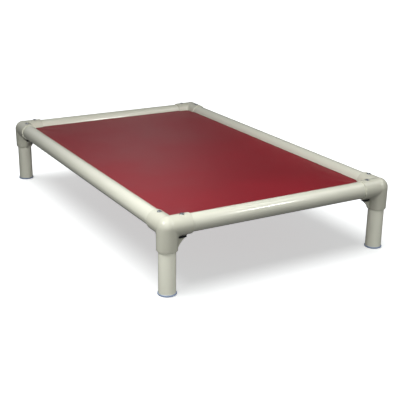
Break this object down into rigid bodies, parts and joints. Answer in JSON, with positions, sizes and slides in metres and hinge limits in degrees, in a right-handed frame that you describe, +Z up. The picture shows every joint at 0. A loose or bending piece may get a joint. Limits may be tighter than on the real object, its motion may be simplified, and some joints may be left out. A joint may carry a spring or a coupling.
{
  "type": "raised dog bed",
  "caption": "Raised cot-style dog bed: a low rectangular pipe frame on short legs with a taut sheet of coated fabric held inside the rails",
  "frame": {"origin": "on the floor, under the middle of the bed", "axes": "+X runs along the long side, +Z is up, -Y is the front"},
  "size_m": [1.0154, 0.6464, 0.1852],
  "materials": {
    "fitting_plastic": "moulded almond plastic, satin",
    "pipe_plastic": "extruded almond plastic pipe, soft gloss",
    "foot_plastic": "blue-grey moulded caps, satin",
    "bolt_steel": "dark oxide steel",
    "nut_plastic": "black moulded plastic",
    "deck_fabric": "burgundy coated fabric, low sheen"
  },
  "bodies": {
    "root": {"corner_fitting_front_left": "fitting_plastic", "corner_fitting_front_right": "fitting_plastic", "corner_fitting_back_right": "fitting_plastic", "corner_fitting_back_left": "fitting_plastic", "rail_front": "pipe_plastic", "rail_right": "pipe_plastic", "rail_back": "pipe_plastic", "rail_left": "pipe_plastic", "leg_front_left": "pipe_plastic", "leg_front_right": "pipe_plastic", "leg_back_right": "pipe_plastic", "leg_back_left": "pipe_plastic", "foot_cap_front_left": "foot_plastic", "foot_cap_front_right": "foot_plastic", "foot_cap_back_right": "foot_plastic", "foot_cap_back_left": "foot_plastic", "rail_bolts_front_left": "bolt_steel", "rail_bolts_front_right": "bolt_steel", "rail_bolts_back_right": "bolt_steel", "rail_bolts_back_left": "bolt_steel", "captive_nuts_front_left": "nut_plastic", "captive_nuts_front_right": "nut_plastic", "captive_nuts_back_right": "nut_plastic", "captive_nuts_back_left": "nut_plastic", "leg_screw_front_left": "bolt_steel", "leg_screw_front_right": "bolt_steel", "leg_screw_back_right": "bolt_steel", "leg_screw_back_left": "bolt_steel", "edge_bead_front": "deck_fabric", "edge_bead_right": "deck_fabric", "edge_bead_back": "deck_fabric", "edge_bead_left": "deck_fabric", "fabric_deck": "deck_fabric"}
  },
  "joints": []
}
